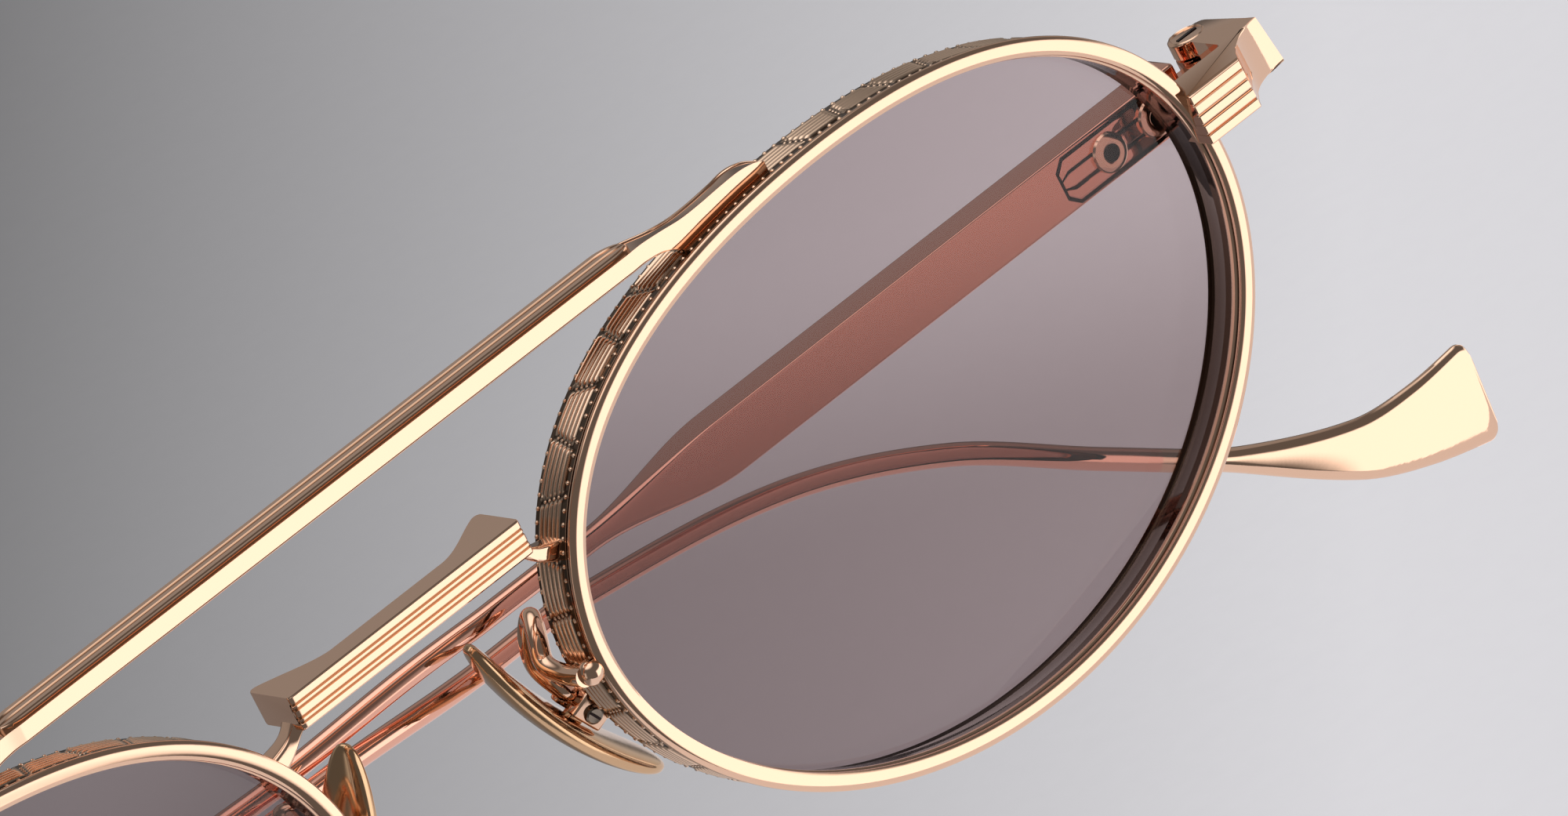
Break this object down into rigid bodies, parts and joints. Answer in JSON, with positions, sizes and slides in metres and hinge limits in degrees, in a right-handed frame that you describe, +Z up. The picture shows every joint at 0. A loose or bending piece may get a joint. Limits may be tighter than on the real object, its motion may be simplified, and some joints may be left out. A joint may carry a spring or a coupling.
{
  "type": "sunglasses",
  "caption": "Rose gold wire sunglasses with oval mauve lenses in engraved rims, a straight brow bar above a fluted bridge, metal nose pads and slim folding temples.",
  "frame": {"origin": "middle plane of the front, at the height of the lens centres, level with the front crest of the rims", "axes": "+X towards the wearer's left, +Y from the front towards the wearer, +Z up as worn"},
  "size_m": [0.1436, 0.0117, 0.045],
  "materials": {
    "rose_gold": "polished",
    "mauve_lens": "polished tinted",
    "dark_steel": "satin"
  },
  "bodies": {
    "frame": {"bridge": "rose_gold", "brow_bar": "rose_gold", "left_rim": "rose_gold", "left_lens": "mauve_lens", "left_end_piece": "rose_gold", "left_rim_screw": "dark_steel", "left_hinge_screw": "rose_gold", "left_pad_arm": "rose_gold", "left_pad_box": "rose_gold", "left_pad_screw": "dark_steel", "right_rim": "rose_gold", "right_lens": "mauve_lens", "right_end_piece": "rose_gold", "right_rim_screw": "dark_steel", "right_hinge_screw": "rose_gold", "right_pad_arm": "rose_gold", "right_pad_box": "rose_gold", "right_pad_screw": "dark_steel"},
    "left_temple_body": {"left_temple": "rose_gold", "left_hinge_leaf": "rose_gold", "left_leaf_screw_1": "rose_gold", "left_leaf_screw_2": "rose_gold"},
    "right_temple_body": {"right_temple": "rose_gold", "right_hinge_leaf": "rose_gold", "right_leaf_screw_1": "rose_gold", "right_leaf_screw_2": "rose_gold"},
    "left_pad_body": {"left_nose_pad": "rose_gold"},
    "right_pad_body": {"right_nose_pad": "rose_gold"}
  },
  "joints": [
    {"name": "left_temple_hinge", "type": "hinge", "parent": "frame", "child": "left_temple_body", "pos_m": [0.0638, 0.0076, 0.0037], "axis": [-0.004, 0.024, -0.9997], "range_deg": [0, 90]},
    {"name": "right_temple_hinge", "type": "hinge", "parent": "frame", "child": "right_temple_body", "pos_m": [-0.0638, 0.0076, 0.0037], "axis": [0.028, 0.024, 0.9993], "range_deg": [0, 90]},
    {"name": "left_pad_rock", "type": "hinge", "parent": "frame", "child": "left_pad_body", "pos_m": [0.00968, 0.00451, -0.00262], "axis": [0.1982, 0.9435, 0.2656], "range_deg": [-5, 5]},
    {"name": "right_pad_rock", "type": "hinge", "parent": "frame", "child": "right_pad_body", "pos_m": [-0.00968, 0.00451, -0.00262], "axis": [-0.1982, 0.9435, 0.2656], "range_deg": [-5, 5]}
  ],
  "couplings": [
    {"joint": "right_temple_hinge", "follows": "left_temple_hinge", "ratio": 1}
  ]
}
